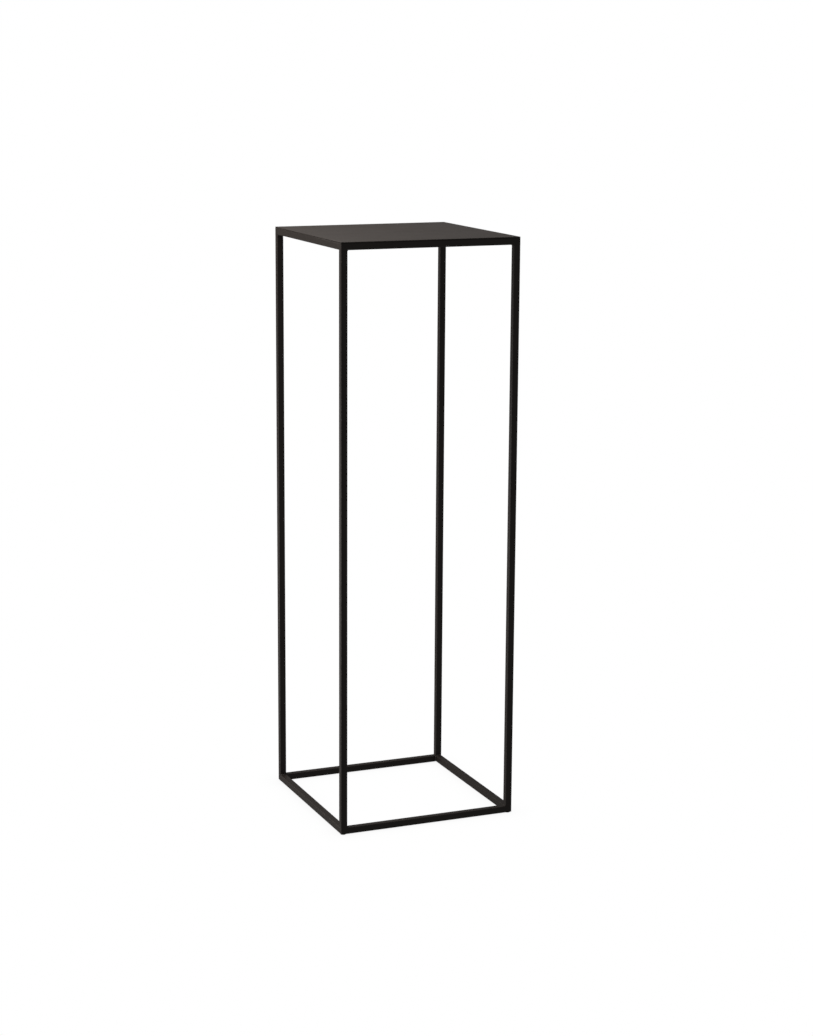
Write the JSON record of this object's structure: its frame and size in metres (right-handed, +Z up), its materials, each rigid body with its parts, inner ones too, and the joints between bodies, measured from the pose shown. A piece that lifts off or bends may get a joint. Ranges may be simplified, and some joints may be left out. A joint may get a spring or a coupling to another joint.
{
  "type": "display plinth",
  "caption": "Tall open box-frame display plinth of welded square steel tube, with a thin flush steel sheet as its square top and slim floor pads.",
  "frame": {"origin": "on the floor, under the centre of the plinth", "axes": "+X across the front to the right, +Y from front to back, +Z up"},
  "size_m": [0.34, 0.34, 1.07],
  "materials": {
    "powder_coated_tube": "matt black powder coat with a fine texture, on cold-rolled steel tube",
    "powder_coated_sheet": "matt black powder coat with a fine texture, on laser-cut steel sheet",
    "powder_coated_weld": "matt black powder coat over weld beads",
    "pad_rubber": "matt black die-cut rubber"
  },
  "bodies": {
    "root": {"leg_front_left": "powder_coated_tube", "leg_front_right": "powder_coated_tube", "leg_back_left": "powder_coated_tube", "leg_back_right": "powder_coated_tube", "bottom_rail_front": "powder_coated_tube", "bottom_rail_back": "powder_coated_tube", "bottom_rail_left": "powder_coated_tube", "bottom_rail_right": "powder_coated_tube", "top_rail_front": "powder_coated_tube", "top_rail_back": "powder_coated_tube", "top_rail_left": "powder_coated_tube", "top_rail_right": "powder_coated_tube", "top_sheet": "powder_coated_sheet", "leg_foot_welds": "powder_coated_weld", "leg_head_welds": "powder_coated_weld", "bottom_mitre_welds": "powder_coated_weld", "top_mitre_welds": "powder_coated_weld", "sheet_stitch_welds": "powder_coated_weld", "floor_pad_front_left": "pad_rubber", "floor_pad_front_right": "pad_rubber", "floor_pad_back_left": "pad_rubber", "floor_pad_back_right": "pad_rubber"}
  },
  "joints": []
}
